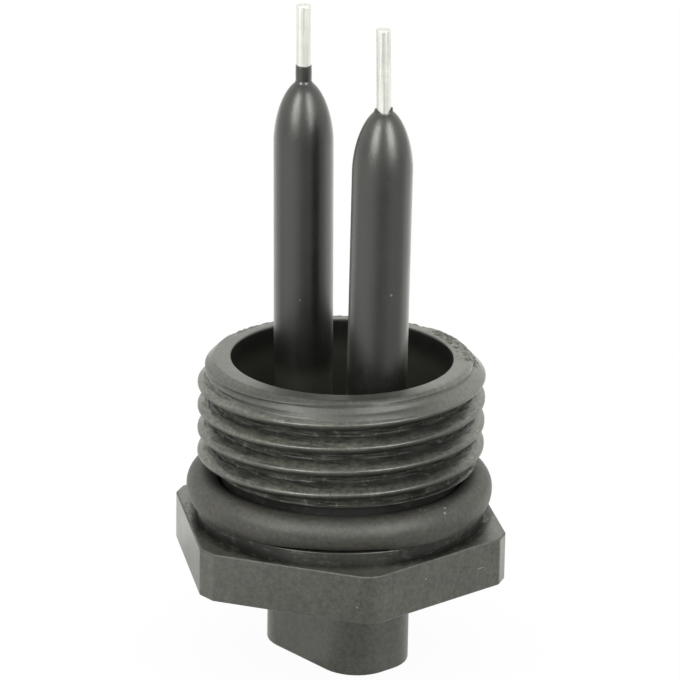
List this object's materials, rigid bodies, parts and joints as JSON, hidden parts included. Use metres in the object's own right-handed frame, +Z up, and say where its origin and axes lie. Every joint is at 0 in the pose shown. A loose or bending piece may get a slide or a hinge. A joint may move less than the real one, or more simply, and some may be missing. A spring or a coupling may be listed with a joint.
{
  "type": "coolant level sensor",
  "caption": "Screw-in coolant level sensor with a threaded hollow skirt, insulated electrodes, a sealing ring, a hexagon and a plug socket.",
  "frame": {"origin": "centre of the plug shroud's lower rim, on the thread's axis", "axes": "+Z up the thread's axis towards the electrode tips, +X along the long side of the plug shroud towards the electrode without a sleeve"},
  "size_m": [0.0256, 0.0288, 0.055],
  "materials": {
    "moulding": "satin black glass-filled moulding with fine texture",
    "ring": "matt black rubber",
    "electrodes": "drawn stainless wire",
    "contacts": "tinned brass strip"
  },
  "bodies": {
    "root": {"housing": "moulding", "o_ring": "ring", "electrode_left": "electrodes", "electrode_right": "electrodes", "terminal_left": "contacts", "terminal_right": "contacts"}
  },
  "joints": []
}
